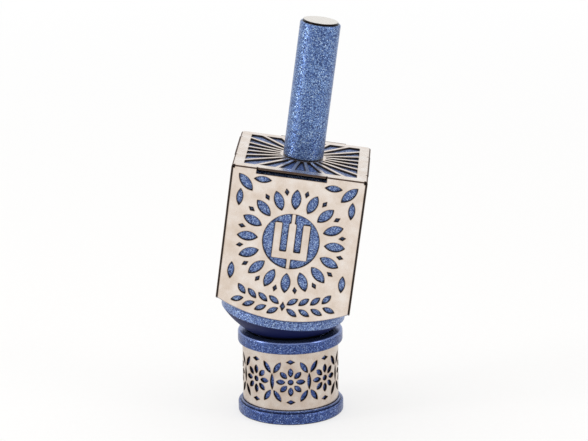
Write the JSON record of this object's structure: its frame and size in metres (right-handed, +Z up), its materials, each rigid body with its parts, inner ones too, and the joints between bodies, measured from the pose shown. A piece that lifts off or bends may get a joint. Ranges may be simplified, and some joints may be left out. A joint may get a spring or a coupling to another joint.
{
  "type": "dreidel on a stand",
  "caption": "Square blue metal spinning top in a folded wrap of pierced pale sheet, with a round stem, leaning in the cup of a turned round stand with a pierced band.",
  "frame": {"origin": "middle of the stand's foot, on the surface that it stands on", "axes": "+Z up along the stand's own axis, -Y towards the viewer of the front, +X to the side that the dreidel leans to"},
  "size_m": [0.0372, 0.0344, 0.0962],
  "materials": {
    "blue_anodised": "bead-blasted and anodised blue, with a fine sparkle",
    "pale_sheet": "rolled sheet, satin, warm pale grey",
    "stud_steel": "plain turned steel"
  },
  "bodies": {
    "stand": {"stand_spool": "blue_anodised", "stand_band": "pale_sheet"},
    "dreidel": {"dreidel_block": "blue_anodised", "cutout_wrap": "pale_sheet", "stem_stud": "stud_steel", "stem": "blue_anodised", "stem_cap": "pale_sheet"}
  },
  "joints": [
    {"name": "spin", "type": "hinge", "parent": "stand", "child": "dreidel", "pos_m": [0, 0, 0.037], "axis": [0.1339, -0.0384, 0.9903], "continuous": true}
  ]
}
